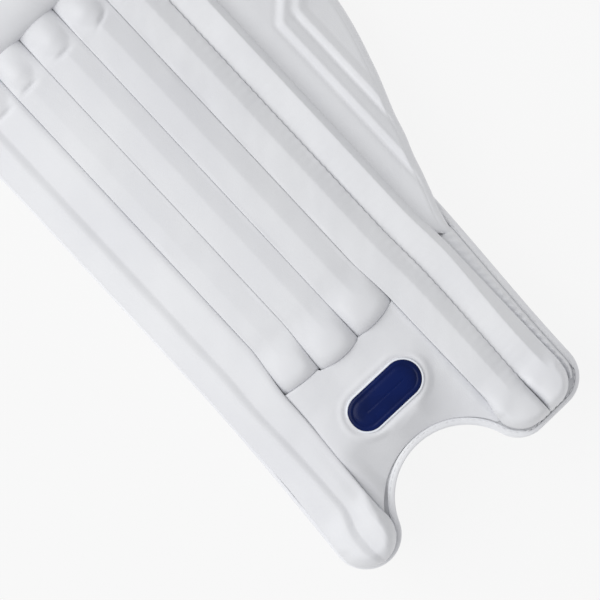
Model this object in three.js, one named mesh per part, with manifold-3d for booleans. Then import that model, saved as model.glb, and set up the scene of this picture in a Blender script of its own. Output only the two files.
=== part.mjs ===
// A cricket leg guard for one adult, lying on its back: X runs across the face towards the wing,
// Y up the leg towards the thigh and Z out of the front. All sizes are in millimetres.
import * as THREE from "three";
import Module from "manifold-3d";
import { mergeVertices } from "three/addons/utils/BufferGeometryUtils.js";

// Lengths up the leg, from the foot end.
const SHIN_LENGTH = 410;
const KNEE_ROLL_WIDTH = 52;
const KNEE_ROLLS = 3;
const TOP_HAT_LENGTH = 119;
const INSTEP_LENGTH = 122;
const ARCH_TOP = 46.7;

// The shell, a curved sheet that carries every pad in front and the padding behind.
const SHELL_RADIUS = 260;
const SHELL_CREST = 72;
const SHELL_THICKNESS = 4;
const FACE_WIDTH = 177.6;
const INNER_MARGIN = 1.6;
const FLANGE_WIDTH = 12;
const FLANGE_FLARE = 4.5;
const LOBE_FLARE = 7;
const INNER_LOBE_RADIUS = 23;
const INNER_LOBE_RISE = 4;
const OUTER_LOBE_RADIUS = 22;
const OUTER_LOBE_WIDTH = 69;
const TOP_CORNER_RADIUS = 48;

// The tape folded round the shell's edge.
const TAPE_WIDTH = 4.8;
const TAPE_THICKNESS = 1.2;

// The padding in front.
const RIB_THICKNESS = 22;
const BULB_LENGTH = 44;
const TOP_BULB_LENGTH = 30;
const HAT_BULB_LENGTH = 36;
const KNEE_ROLL_THICKNESS = 31;
const PANEL_THICKNESS = 15.5;
const PANEL_RIM = 3.5;
const PANEL_BOTTOM = 27;

// The badge on the panel's flat.
const BADGE_WIDTH = 58;
const BADGE_HEIGHT = 27;
const BADGE_THICKNESS = 2;
const BADGE_CENTRE = 84.3;

// The wing at the outer side.
const WING_LENGTH = 451;
const WING_REACH = 63;
const WING_START = 133.8;
const WING_THICKNESS = 9;
const WING_LINE_WIDTH = 4.8;
const WING_LINE_HEIGHT = 2.4;
const WING_LINE_OFFSETS = [19.7, 33];
const WING_BEND = 169;

// The padding behind: a web over the shin between two bolsters that stand on the floor.
const WEB_THICKNESS = 17;
const BOLSTER_WIDTH = 23;
const BOLSTER_ROUND = 4;
const PADDING_INSET = 6.4;

// The straps that close round the leg.
const STRAP_THICKNESS = 2;
const STRAP_RISE = 26;
const ANKLE_STRAP_WIDTH = 38;
const CALF_STRAP_WIDTH = 45;
const KNEE_STRAP_WIDTH = 50;

// Clearances between separate pieces, and how far a rib's base keeps inside the tape.
const SEAT_GAP = 0.3;
const RIB_GAP = 0.6;
const STRAP_GAP = 0.5;
const BASE_MARGIN = 1.7 * TAPE_WIDTH;

// The longest step across a bent sheet.
const FACET = 12;

// Places that follow from those sizes.
const KNEE_TOP = SHIN_LENGTH + KNEE_ROLLS * KNEE_ROLL_WIDTH;
const PAD_LENGTH = KNEE_TOP + TOP_HAT_LENGTH;
const FACE_LEFT = -0.472 * FACE_WIDTH;
const FACE_RIGHT = FACE_LEFT + FACE_WIDTH;
const SHELL_LEFT = FACE_LEFT - INNER_MARGIN;
const SHELL_RIGHT = FACE_RIGHT + FLANGE_WIDTH;
const PADDING_DEPTH = SHELL_THICKNESS + SEAT_GAP;
const BULB_TOP = INSTEP_LENGTH + BULB_LENGTH;
const BADGE_FLAT = [BADGE_CENTRE - 0.62 * BADGE_HEIGHT, BADGE_CENTRE + 0.56 * BADGE_HEIGHT];
const BOLSTERS = { left: SHELL_LEFT + PADDING_INSET, right: FACE_RIGHT + 0.4 * FLANGE_WIDTH };

// The straps, each at a place up the leg as a share of the pad's length.
const STRAPS = [
  { name: "ankle_strap", width: ANKLE_STRAP_WIDTH, up: 0.134 },
  { name: "calf_strap", width: CALF_STRAP_WIDTH, up: 0.382 },
  { name: "knee_strap", width: KNEE_STRAP_WIDTH, up: 0.712 },
];

// Seam lines up the face, as shares of its width: on the shin, beside the bulbs over the instep
// and in the lobes.
const SEAMS = {
  inner_edge: { shin: 0, bulb: -0.006, lobe: -0.038 },
  inner_seam: { shin: 0.236, bulb: 0.209, lobe: 0.183 },
  centre_seam_1: { shin: 0.382, bulb: 0.367, lobe: 0.367 },
  centre_seam_2: { shin: 0.544, bulb: 0.544, lobe: 0.544 },
  outer_seam: { shin: 0.708, bulb: 0.722, lobe: 0.727 },
  wing_seam: { shin: 0.87, bulb: 0.879, lobe: 0.873 },
  wing_foot: { shin: 1, bulb: 1.012, lobe: 1.016 },
};

// A rib with one ridge, as shares of its width and thickness.
const SHOULDER = 0.045;
const SHOULDER_HEIGHT = 0.86;
const RIDGE_HEIGHT = 0.985;
const RIDGE_HALF = 0.04;

// The crest of the double rib across its width, as shares of the width and of the rib's thickness, on its
// straight length and in its bulbs.
const DOUBLE_CREST = [
  { across: 0.03, shin: 0.4, bulb: 0.42 },
  { across: 0.19, shin: 0.68, bulb: 0.88 },
  { across: 0.345, shin: 0.95, bulb: 0.98 },
  { across: 0.39, shin: 0.955, bulb: 0.94 },
  { across: 0.48, shin: 0.8, bulb: 0.82 },
  { across: 0.53, shin: 0.8, bulb: 0.83 },
  { across: 0.7, shin: 0.9, bulb: 1.01 },
  { across: 0.87, shin: 0.99, bulb: 0.88 },
  { across: 0.925, shin: 0.98, bulb: 0.74 },
  { across: 0.975, shin: 0.86, bulb: 0.56 },
];

// The ribs from the inner edge to the wing. A rib's ridge lies at a share of its width and it falls
// to a low share of its thickness at the next seam. A rib over the instep ends above the panel, by
// a share of its bulb's length.
const RIBS = [
  { name: "inner_edge_rib", foot: "inner", crest: DOUBLE_CREST },
  { name: "centre_rib_1", foot: "instep", ridge: 0.405, low: 0.94, drop: 0.08 },
  { name: "centre_rib_2", foot: "instep", ridge: 0.566, low: 0.9, drop: 0 },
  { name: "centre_rib_3", foot: "instep", ridge: 0.53, low: 0.86, drop: 0.04 },
  { name: "outer_rib", foot: "outer", ridge: 0.61, low: 0.81 },
  { name: "wing_rib", foot: "outer", ridge: 0.78, low: 0.42 },
].map((rib, i) => ({ ...rib, left: Object.keys(SEAMS)[i], right: Object.keys(SEAMS)[i + 1] }));

// How a rib closes at each end, as shares of its bulb's length, of its thickness (where its base
// lifts to clear the tape, and its crest), of the bulb's roundness and of its width taken in.
const FOOT_END = [
  { along: 0, base: 0.12, tall: 0.3, round: 1, pinch: 0.08 },
  { along: 0.04, base: 0.12, tall: 0.5, round: 1, pinch: 0.04 },
  { along: 0.12, base: 0.12, tall: 0.78, round: 1, pinch: 0.015 },
  { along: 0.26, base: 0, tall: 1, round: 1, pinch: 0 },
  { along: 0.45, base: 0, tall: 1.08, round: 1, pinch: 0 },
  { along: 0.66, base: 0, tall: 1.05, round: 0.8, pinch: 0 },
  { along: 0.84, base: 0, tall: 1, round: 0.3, pinch: 0 },
  { along: 1, base: 0, tall: 1, round: 0, pinch: 0 },
];
const TOP_END = [
  { along: 1, base: 0, tall: 1, round: 0, pinch: 0 },
  { along: 0.82, base: 0, tall: 0.9, round: 0.6, pinch: 0 },
  { along: 0.62, base: 0, tall: 1, round: 1, pinch: 0 },
  { along: 0.38, base: 0, tall: 1.06, round: 1, pinch: 0 },
  { along: 0.16, base: 0, tall: 0.9, round: 1, pinch: 0 },
  { along: 0.05, base: 0, tall: 0.6, round: 1, pinch: 0.03 },
  { along: 0, base: 0, tall: 0.24, round: 1, pinch: 0.07 },
];
const HAT_FOOT_END = [
  { along: 0, base: 0, tall: 0.24, round: 1, pinch: 0.07 },
  { along: 0.06, base: 0, tall: 0.6, round: 1, pinch: 0.03 },
  { along: 0.2, base: 0, tall: 0.94, round: 1, pinch: 0 },
  { along: 0.5, base: 0, tall: 1.03, round: 1, pinch: 0 },
  { along: 1, base: 0, tall: 1, round: 0, pinch: 0 },
];
const HAT_TOP_END = [
  { along: 1, base: 0, tall: 1, round: 0, pinch: 0 },
  { along: 0.55, base: 0, tall: 1, round: 0.8, pinch: 0 },
  { along: 0.3, base: 0, tall: 0.9, round: 1, pinch: 0 },
  { along: 0.1, base: 0.12, tall: 0.62, round: 1, pinch: 0 },
  { along: 0, base: 0.12, tall: 0.34, round: 1, pinch: 0.04 },
];

// A knee roll's round section, as shares of its width and thickness, and its ends along X, where
// its base lifts to clear the tape.
const ROLL_SECTION = [
  { along: 0.06, tall: 0 },
  { along: 0, tall: 0.3 },
  { along: 0.02, tall: 0.6 },
  { along: 0.12, tall: 0.84 },
  { along: 0.3, tall: 0.97 },
  { along: 0.5, tall: 1 },
  { along: 0.7, tall: 0.97 },
  { along: 0.88, tall: 0.84 },
  { along: 0.98, tall: 0.6 },
  { along: 1, tall: 0.3 },
  { along: 0.94, tall: 0 },
];
const ROLL_ENDS = [
  { across: 0, base: 0.085, tall: 0.34, pinch: 0.1 },
  { across: 0.01, base: 0.085, tall: 0.62, pinch: 0.04 },
  { across: 0.035, base: 0, tall: 0.84, pinch: 0.01 },
  { across: 0.08, base: 0, tall: 0.96, pinch: 0 },
  { across: 0.15, base: 0, tall: 1, pinch: 0 },
  { across: 0.27, base: 0, tall: 1, pinch: 0 },
  { across: 0.39, base: 0, tall: 1, pinch: 0 },
  { across: 0.5, base: 0, tall: 1, pinch: 0 },
];

// The wing's outer edge, as shares of its length, reach and thickness, and its section from the
// flange out to that edge, as shares of its width and thickness.
const WING_EDGE = [
  { along: 0, reach: 0.11, tall: 0.35 },
  { along: 0.007, reach: 0.135, tall: 0.7 },
  { along: 0.02, reach: 0.17, tall: 0.92 },
  { along: 0.035, reach: 0.21, tall: 1 },
  { along: 0.05, reach: 0.265, tall: 1 },
  { along: 0.084, reach: 0.35, tall: 1 },
  { along: 0.111, reach: 0.405, tall: 1 },
  { along: 0.14, reach: 0.49, tall: 1 },
  { along: 0.169, reach: 0.545, tall: 1 },
  { along: 0.197, reach: 0.622, tall: 1 },
  { along: 0.226, reach: 0.704, tall: 1 },
  { along: 0.253, reach: 0.765, tall: 1 },
  { along: 0.282, reach: 0.831, tall: 1 },
  { along: 0.311, reach: 0.885, tall: 1 },
  { along: 0.345, reach: 0.935, tall: 1 },
  { along: 0.395, reach: 0.98, tall: 1 },
  { along: 0.445, reach: 0.998, tall: 1 },
  { along: 0.5, reach: 1, tall: 1 },
  { along: 0.57, reach: 0.985, tall: 1 },
  { along: 0.68, reach: 0.89, tall: 1 },
  { along: 0.79, reach: 0.73, tall: 1 },
  { along: 0.89, reach: 0.524, tall: 1 },
  { along: 0.956, reach: 0.33, tall: 0.95 },
  { along: 0.99, reach: 0.19, tall: 0.75 },
  { along: 1, reach: 0.12, tall: 0.4 },
];
const WING_SECTION = [
  { across: 0, tall: 0.45 },
  { across: 0.03, tall: 0.98 },
  { across: 0.25, tall: 1 },
  { across: 0.5, tall: 1 },
  { across: 0.75, tall: 0.98 },
  { across: 0.9, tall: 0.88 },
  { across: 0.975, tall: 0.62 },
  { across: 1, tall: 0.28 },
];

// The panel's section up the leg: where each line of points lies between the arch and the bulbs,
// and how thick the panel is there.
const PANEL_LINES = [
  { along: 0, tall: 0.28 },
  { along: 0.12, tall: 0.4 },
  { along: 0.55, tall: 0.78 },
  { along: 1, tall: 1 },
];
const PANEL_TOP_LINES = [
  { along: 0, tall: 1 },
  { along: 0.55, tall: 0.92 },
  { along: 0.86, tall: 0.84 },
  { along: 1, tall: 0.6 },
];

const wasm = await Module();
wasm.setup();

const mix = (a, b, t) => a + (b - a) * t;
const clamp = (t) => Math.min(1, Math.max(0, t));
const smooth = (t) => clamp(t) ** 2 * (3 - 2 * clamp(t));

// The shell's outer surface: an arc across the face, the same all the way up.
function shellTop(x) {
  return SHELL_CREST - SHELL_RADIUS + Math.sqrt(SHELL_RADIUS ** 2 - x ** 2);
}

// A crest with one ridge falls to a shoulder at each side, and in its bulbs it is a dome.
function crestOf({ crest, ridge, low }) {
  if (crest) return crest;
  const dome = (t) => 1.05 * Math.sqrt(1 - Math.abs(2 * t - 1) ** 2.4);
  const row = (across, shin) => ({ across, shin, bulb: dome(across) });
  const left = ridge - RIDGE_HALF;
  const right = ridge + RIDGE_HALF;
  return [
    row(SHOULDER, SHOULDER_HEIGHT),
    row(mix(left, SHOULDER, 0.45), mix(RIDGE_HEIGHT, SHOULDER_HEIGHT, 0.45)),
    row(left, RIDGE_HEIGHT),
    row(right, RIDGE_HEIGHT),
    row(mix(right, 1 - SHOULDER, 0.45), mix(RIDGE_HEIGHT, low, 0.45)),
    row(1 - SHOULDER, low),
  ];
}

// Where a seam crosses the face at a height up the leg.
function seamAt(name, y) {
  const seam = SEAMS[name];
  const bend = smooth((y - INSTEP_LENGTH) / BULB_LENGTH);
  const rise = smooth((y - INNER_LOBE_RADIUS) / (INSTEP_LENGTH - INNER_LOBE_RADIUS));
  const low = mix(seam.lobe, seam.bulb, rise);
  return FACE_LEFT + FACE_WIDTH * mix(low, seam.shin, bend);
}

// Joins rings of points into a body. Each ring turns so that its direction crossed with the way
// the rings advance points out. An open run is closed by a fan at each end.
function loft(rings, isLoop = false) {
  const size = rings[0].length;
  const points = rings.flat();
  const faces = [];
  const spans = isLoop ? rings.length : rings.length - 1;
  for (let j = 0; j < spans; j++) {
    const here = j * size;
    const next = ((j + 1) % rings.length) * size;
    for (let k = 0; k < size; k++) {
      const beside = (k + 1) % size;
      faces.push(here + k, here + beside, next + beside);
      faces.push(here + k, next + beside, next + k);
    }
  }
  if (!isLoop) {
    const last = (rings.length - 1) * size;
    const start = points.push(middleOf(rings[0])) - 1;
    const end = points.push(middleOf(rings.at(-1))) - 1;
    for (let k = 0; k < size; k++) {
      const beside = (k + 1) % size;
      faces.push(start, beside, k);
      faces.push(end, last + k, last + beside);
    }
  }
  const geometry = new THREE.BufferGeometry();
  geometry.setAttribute("position", new THREE.Float32BufferAttribute(points.flat(), 3));
  geometry.setIndex(faces);
  return geometry;
}

function middleOf(ring) {
  return [0, 1, 2].map((axis) => ring.reduce((sum, point) => sum + point[axis], 0) / ring.length);
}

function solidOf(geometry) {
  const bare = geometry.clone();
  bare.deleteAttribute("normal");
  bare.deleteAttribute("uv");
  const merged = mergeVertices(bare, 1e-4);
  const vertProperties = new Float32Array(merged.attributes.position.array);
  const triVerts = new Uint32Array(merged.index.array);
  return new wasm.Manifold(new wasm.Mesh({ numProp: 3, vertProperties, triVerts }));
}

function geometryOf(solid) {
  const mesh = solid.getMesh();
  const geometry = new THREE.BufferGeometry();
  geometry.setAttribute("position", new THREE.Float32BufferAttribute(mesh.vertProperties, 3));
  geometry.setIndex(Array.from(mesh.triVerts));
  return geometry;
}

// An upright body with the given plan, tall enough to cut anything in the pad.
function prism(loop) {
  const depth = 4 * SHELL_CREST;
  const shape = new THREE.Shape(loop.map(([x, y]) => new THREE.Vector2(x, y)));
  return new THREE.ExtrudeGeometry(shape, { depth, bevelEnabled: false }).translate(0, 0, -SHELL_CREST);
}

function box(x0, x1, y0, y1, z0, z1) {
  const body = new THREE.BoxGeometry(x1 - x0, y1 - y0, z1 - z0);
  return body.translate((x0 + x1) / 2, (y0 + y1) / 2, (z0 + z1) / 2);
}

// The circle over the foot: it touches the inner lobe and the outer lobe and reaches ARCH_TOP.
function archBetween(inner, outer) {
  const across = outer.x - inner.x;
  const up = outer.y - inner.y;
  const apart = Math.hypot(across, up);
  const centreFor = (radius) => {
    const a = radius + inner.radius;
    const b = radius + outer.radius;
    const along = (a * a - b * b + apart * apart) / (2 * apart);
    const off = Math.sqrt(Math.max(0, a * a - along * along));
    return {
      x: inner.x + (along * across + off * up) / apart,
      y: inner.y + (along * up - off * across) / apart,
      radius,
    };
  };
  let low = (apart - inner.radius - outer.radius) / 2;
  let high = 20 * apart;
  for (let step = 0; step < 60; step++) {
    const middle = (low + high) / 2;
    const arch = centreFor(middle);
    if (arch.y + arch.radius > ARCH_TOP) low = middle;
    else high = middle;
  }
  return centreFor((low + high) / 2);
}

const INNER_LOBE = {
  x: SHELL_LEFT - LOBE_FLARE + INNER_LOBE_RADIUS,
  y: INNER_LOBE_RISE + INNER_LOBE_RADIUS,
  radius: INNER_LOBE_RADIUS,
};
const OUTER_LOBE_RIGHT = {
  x: SHELL_RIGHT - OUTER_LOBE_RADIUS,
  y: OUTER_LOBE_RADIUS,
  radius: OUTER_LOBE_RADIUS,
};
const OUTER_LOBE_LEFT = {
  x: SHELL_RIGHT - OUTER_LOBE_WIDTH + OUTER_LOBE_RADIUS,
  y: OUTER_LOBE_RADIUS,
  radius: OUTER_LOBE_RADIUS,
};
const ARCH = archBetween(INNER_LOBE, OUTER_LOBE_LEFT);

function arc(circle, from, to, step = 12) {
  const count = Math.max(2, Math.round(Math.abs(to - from) / step));
  return Array.from({ length: count + 1 }, (_, i) => {
    const angle = THREE.MathUtils.degToRad(mix(from, to, i / count));
    return [circle.x + circle.radius * Math.cos(angle), circle.y + circle.radius * Math.sin(angle)];
  });
}

function heading(from, to) {
  return THREE.MathUtils.radToDeg(Math.atan2(to.y - from.y, to.x - from.x));
}

// How far the inner edge swings out towards its lobe, and the outer edge towards the wing.
function innerSwing(y) {
  return LOBE_FLARE * clamp(1 - (y - INNER_LOBE.y) / (BULB_TOP - INNER_LOBE.y)) ** 1.5;
}

function outerSwing(y) {
  return FLANGE_FLARE * smooth((y - OUTER_LOBE_RADIUS) / (1.1 * WING_START));
}

// The pad's plan outline, anticlockwise, with no step across longer than a shell facet.
function outline() {
  const corner = TOP_CORNER_RADIUS;
  const high = PAD_LENGTH - corner;
  const flared = 1.1 * WING_START;
  const rise = [...steps(OUTER_LOBE_RADIUS, flared, 24), ...steps(flared, high, 80)];
  const fall = [...steps(high, BULB_TOP, 80), ...steps(BULB_TOP, INNER_LOBE.y, 22)];
  const top = (x) => ({ x, y: high, radius: corner });
  const loop = [
    ...fall.map((y) => [SHELL_LEFT - innerSwing(y), y]),
    ...arc(INNER_LOBE, 180, 360 + heading(INNER_LOBE, ARCH)),
    ...arc(ARCH, heading(ARCH, INNER_LOBE), heading(ARCH, OUTER_LOBE_LEFT), 11),
    ...arc(OUTER_LOBE_LEFT, 360 + heading(OUTER_LOBE_LEFT, ARCH), 270),
    ...arc(OUTER_LOBE_RIGHT, 270, 360),
    ...rise.map((y) => [SHELL_RIGHT + outerSwing(y), y]),
    ...arc(top(SHELL_RIGHT + FLANGE_FLARE - corner), 0, 90, 15),
    ...arc(top(SHELL_LEFT + corner), 90, 180, 15),
  ];
  return subdivided(withoutRepeats(loop));
}

function steps(from, to, step) {
  const count = Math.max(1, Math.round(Math.abs(to - from) / step));
  return Array.from({ length: count + 1 }, (_, i) => mix(from, to, i / count));
}

function withoutRepeats(loop) {
  return loop.filter(([x, y], i) => {
    const [u, v] = loop[(i + 1) % loop.length];
    return Math.hypot(u - x, v - y) > 0.5;
  });
}

function subdivided(loop) {
  return loop.flatMap(([x, y], i) => {
    const [u, v] = loop[(i + 1) % loop.length];
    const count = Math.max(1, Math.ceil(Math.abs(u - x) / FACET));
    return Array.from({ length: count }, (_, k) => [mix(x, u, k / count), mix(y, v, k / count)]);
  });
}

// The outward direction at each point of an anticlockwise loop, long enough to move its sides by 1.
function outwards(loop) {
  return loop.map((point, i) => {
    const before = loop.at(i - 1);
    const after = loop[(i + 1) % loop.length];
    const [a, b] = [[before, point], [point, after]].map(([p, q]) => {
      const length = Math.hypot(q[0] - p[0], q[1] - p[1]);
      return [(q[1] - p[1]) / length, (p[0] - q[0]) / length];
    });
    const scale = 1 + a[0] * b[0] + a[1] * b[1];
    return [(a[0] + b[0]) / scale, (a[1] + b[1]) / scale];
  });
}

function inset(loop, distance) {
  const out = outwards(loop);
  return loop.map(([x, y], i) => [x - distance * out[i][0], y - distance * out[i][1]]);
}

const OUTLINE = outline();

// The shell: a bent sheet cut to the outline, less the tape round its edge.
function backingBoard() {
  const xs = steps(1.4 * SHELL_LEFT, 1.6 * SHELL_RIGHT, FACET);
  const ring = (y) => [
    ...xs.map((x) => [x, y, shellTop(x)]),
    ...xs.toReversed().map((x) => [x, y, shellTop(x) - SHELL_THICKNESS]),
  ];
  const sheet = loft([ring(-TAPE_WIDTH), ring(PAD_LENGTH + TAPE_WIDTH)]);
  const plan = prism(inset(OUTLINE, TAPE_THICKNESS + SEAT_GAP));
  return geometryOf(solidOf(sheet).intersect(solidOf(plan)));
}

// The tape: a channel that closes over the shell's edge all the way round.
function edgeBinding() {
  const out = outwards(OUTLINE);
  const lip = SEAT_GAP + TAPE_THICKNESS;
  const section = [
    { inset: 0, rise: lip },
    { inset: 0, rise: -SHELL_THICKNESS - lip },
    { inset: TAPE_WIDTH, rise: -SHELL_THICKNESS - lip },
    { inset: TAPE_WIDTH, rise: -SHELL_THICKNESS - SEAT_GAP },
    { inset: TAPE_THICKNESS, rise: -SHELL_THICKNESS - SEAT_GAP },
    { inset: TAPE_THICKNESS, rise: SEAT_GAP },
    { inset: TAPE_WIDTH, rise: SEAT_GAP },
    { inset: TAPE_WIDTH, rise: lip },
  ];
  const rings = OUTLINE.map(([x, y], i) =>
    section.map((point) => {
      const px = x - point.inset * out[i][0];
      return [px, y - point.inset * out[i][1], shellTop(px) + point.rise];
    }),
  );
  return loft(rings, true);
}

// Half the width of a round end at a height, when it stays inside its circle by those margins.
function endReach(circle, y, side, end) {
  const depth = clamp(Math.abs(circle.y - y) / (circle.radius - end));
  return (circle.radius - side) * Math.sqrt(1 - depth ** 2);
}

// How far a rib may reach at a height: its seams, the inner edge, and in the lobes and the top
// corners their round ends, each less a margin.
function ribReach(rib, y, margin) {
  let left = seamAt(rib.left, y) + RIB_GAP / 2;
  let right = seamAt(rib.right, y) - RIB_GAP / 2;
  const corner = { y: PAD_LENGTH - TOP_CORNER_RADIUS, radius: TOP_CORNER_RADIUS };
  const besideFlange = 0.8 * FLANGE_WIDTH - INNER_MARGIN + margin;
  if (rib.left === "inner_edge") left = Math.max(left, SHELL_LEFT - innerSwing(y) + margin);
  if (rib.foot === "inner" && y < INNER_LOBE.y) {
    left = Math.max(left, INNER_LOBE.x - endReach(INNER_LOBE, y, margin, margin));
    right = Math.min(right, INNER_LOBE.x + endReach(INNER_LOBE, y, margin, margin));
  }
  if (rib.foot === "outer" && y < OUTER_LOBE_RADIUS) {
    left = Math.max(left, OUTER_LOBE_LEFT.x - endReach(OUTER_LOBE_LEFT, y, TAPE_WIDTH + margin, margin));
    right = Math.min(right, OUTER_LOBE_RIGHT.x + endReach(OUTER_LOBE_RIGHT, y, besideFlange, margin));
  }
  if (y > corner.y) {
    const reach = TOP_CORNER_RADIUS - endReach(corner, y, margin, margin);
    left = Math.max(left, SHELL_LEFT + reach);
    right = Math.min(right, SHELL_RIGHT - reach);
  }
  return { left, right };
}

// One section of a rib: its crest, its sides against its neighbours and its base on the shell,
// narrow enough to lie inside the tape where it isn't lifted over it.
function ribRing(rib, y, { base, tall, round, pinch }) {
  const wide = ribReach(rib, y, INNER_MARGIN);
  const narrow = base > 0 ? wide : ribReach(rib, y, BASE_MARGIN);
  const at = ({ left, right }, across, height) => {
    const x = mix(left, right, mix(pinch, 1 - pinch, across));
    return [x, y, shellTop(x) + SEAT_GAP + RIB_THICKNESS * height];
  };
  const rows = crestOf(rib).map((row) => ({
    across: row.across,
    height: tall * mix(row.shin, row.bulb, round),
  }));
  return [
    at(wide, 0.002, Math.max(0.85 * rows[0].height, base + 0.04)),
    ...rows.map((row) => at(wide, row.across, Math.max(row.height, base + 0.05))),
    at(wide, 0.998, Math.max(0.85 * rows.at(-1).height, base + 0.04)),
    ...steps(0.92, 0.08, rib.crest ? 0.21 : 0.42).map((across) => at(narrow, across, base)),
  ];
}

const PLAIN = { base: 0, tall: 1, round: 0, pinch: 0 };

function shinRib(rib) {
  const ends = {
    inner: INNER_LOBE_RISE + 0.45 * TAPE_WIDTH,
    outer: 0.45 * TAPE_WIDTH,
    instep: INSTEP_LENGTH + (rib.drop ?? 0) * BULB_LENGTH,
  };
  const foot = ends[rib.foot];
  const top = SHIN_LENGTH - SEAT_GAP;
  const bulb = rib.foot === "instep" ? BULB_LENGTH - (foot - INSTEP_LENGTH) : BULB_LENGTH;
  const low = rib.foot === "instep" ? [] : steps(foot + bulb, BULB_TOP, 19).slice(1);
  const middle = steps(BULB_TOP, top - TOP_BULB_LENGTH, 90).slice(1, -1);
  const rows = [
    ...FOOT_END.map((row) => [foot + row.along * bulb, row]),
    ...[...low, ...middle].map((y) => [y, PLAIN]),
    ...TOP_END.map((row) => [top - row.along * TOP_BULB_LENGTH, row]),
  ];
  return loft(rows.map(([y, row]) => ribRing(rib, y, row)));
}

// A rib of the top hat: it runs on from its shin rib, above the knee rolls, to the curved top.
function hatRib(rib) {
  const foot = KNEE_TOP + SEAT_GAP;
  const corner = rib.left === "inner_edge" || rib.right === "wing_foot";
  const top = PAD_LENGTH - TAPE_WIDTH - (corner ? 0.07 * TOP_HAT_LENGTH : SEAT_GAP);
  const rows = [
    ...HAT_FOOT_END.map((row) => [foot + row.along * HAT_BULB_LENGTH, row]),
    ...HAT_TOP_END.map((row) => [top - row.along * HAT_BULB_LENGTH, row]),
  ];
  return loft(rows.map(([y, row]) => ribRing(rib, y, row)));
}

function kneeRoll(index) {
  const foot = SHIN_LENGTH + index * KNEE_ROLL_WIDTH + RIB_GAP / 2;
  const width = KNEE_ROLL_WIDTH - RIB_GAP;
  const left = FACE_LEFT + RIB_GAP / 2;
  const right = FACE_RIGHT - RIB_GAP / 2;
  const otherEnd = ROLL_ENDS.slice(0, -1).toReversed();
  const mirrored = otherEnd.map((row) => ({ ...row, across: 1 - row.across }));
  const rings = [...ROLL_ENDS, ...mirrored].map((row) => {
    const x = mix(left, right, row.across);
    return ROLL_SECTION.toReversed().map((point) => [
      x,
      foot + width * mix(row.pinch, 1 - row.pinch, point.along),
      shellTop(x) + SEAT_GAP + KNEE_ROLL_THICKNESS * mix(row.base, row.tall, point.tall),
    ]);
  });
  return loft(rings);
}

// The panel over the instep, with a flat for the badge between its rim and the ribs' bulbs.
function instepPanel() {
  const clear = ARCH.radius + TAPE_WIDTH + 3 * SEAT_GAP;
  const left = (y) => seamAt("inner_seam", y) + RIB_GAP;
  const right = (y) => seamAt("outer_seam", y) - RIB_GAP;
  const flat = 0.5 * BADGE_WIDTH + BADGE_THICKNESS;
  const stations = [
    ...steps(left(BADGE_CENTRE), -flat, 7).slice(0, -1),
    ...steps(-flat, flat, 10),
    ...steps(flat, right(BADGE_CENTRE), 7).slice(1),
  ];
  const place = (x, y) => {
    if (x < -flat) return mix(-flat, left(y), (x + flat) / (left(BADGE_CENTRE) + flat));
    if (x > flat) return mix(flat, right(y), (x - flat) / (right(BADGE_CENTRE) - flat));
    return x;
  };
  const rings = stations.map((x) => {
    const side = Math.min(x - left(BADGE_CENTRE), right(BADGE_CENTRE) - x);
    const fade = mix(0.72, 1, smooth(side / (0.4 * BADGE_HEIGHT)));
    const away = Math.max(0, clear ** 2 - (x - ARCH.x) ** 2);
    const rim = Math.max(PANEL_BOTTOM, ARCH.y + Math.sqrt(away));
    const top = INSTEP_LENGTH - SEAT_GAP;
    const at = (y, rise) => {
      const px = place(x, y);
      return [px, y, shellTop(px) + SEAT_GAP + rise];
    };
    const high = (share) => Math.max(PANEL_RIM, PANEL_THICKNESS * share * fade);
    const low = PANEL_LINES.map((row) => at(mix(rim, BADGE_FLAT[0], row.along), high(row.tall)));
    const upper = PANEL_TOP_LINES.map((row) => at(mix(BADGE_FLAT[1], top, row.along), high(row.tall)));
    return [at(rim, 0), ...low, ...upper, at(top, 0)].toReversed();
  });
  return loft(rings);
}

// A plain raised badge with round ends, following the panel's flat.
function instepBadge() {
  const half = BADGE_WIDTH / 2;
  const round = BADGE_HEIGHT / 2;
  const rows = [0, 0.06, 0.16, 0.3, 0.5, 0.7, 0.84, 0.94, 1];
  const rings = rows.map((share) => {
    const x = mix(-half, half, share);
    const run = Math.max(0, Math.abs(x) - (half - round));
    const tall = Math.max(0.12 * round, Math.sqrt(Math.max(0, round ** 2 - run ** 2)));
    const bevel = Math.min(0.3 * tall, BADGE_THICKNESS);
    const seat = shellTop(x) + SEAT_GAP + PANEL_THICKNESS + SEAT_GAP;
    const profile = [
      [-tall, 0],
      [-tall, 0.5 * BADGE_THICKNESS],
      [-tall + bevel, BADGE_THICKNESS],
      [tall - bevel, BADGE_THICKNESS],
      [tall, 0.5 * BADGE_THICKNESS],
      [tall, 0],
    ];
    return profile.map(([up, rise]) => [x, BADGE_CENTRE + up, seat + rise]).toReversed();
  });
  return loft(rings);
}

// Reads a table of rows at a place between them.
function between(table, key, place, value) {
  const next = Math.max(1, table.findIndex((row) => row[key] >= place));
  const [low, high] = [table[next - 1], table[next]];
  return mix(low[value], high[value], clamp((place - low[key]) / (high[key] - low[key])));
}

// Where the wing lies at a height: its two sides, and its front surface between them.
function wingSides(y) {
  const along = clamp((y - WING_START) / WING_LENGTH);
  const tip = 1 - smooth((y - WING_START) / (2 * WING_THICKNESS));
  const foot = seamAt("wing_foot", y) + RIB_GAP;
  const reach = between(WING_EDGE, "along", along, "reach");
  return { inner: foot + 3.5 * tip, outer: foot + reach * WING_REACH };
}

function wingBase(x) {
  return shellTop(x) + TAPE_THICKNESS + 4 * SEAT_GAP;
}

function wingTop(x, y) {
  const { inner, outer } = wingSides(y);
  const across = between(WING_SECTION, "across", clamp((x - inner) / (outer - inner)), "tall");
  const along = between(WING_EDGE, "along", (y - WING_START) / WING_LENGTH, "tall");
  return wingBase(x) + WING_THICKNESS * across * along;
}

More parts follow.
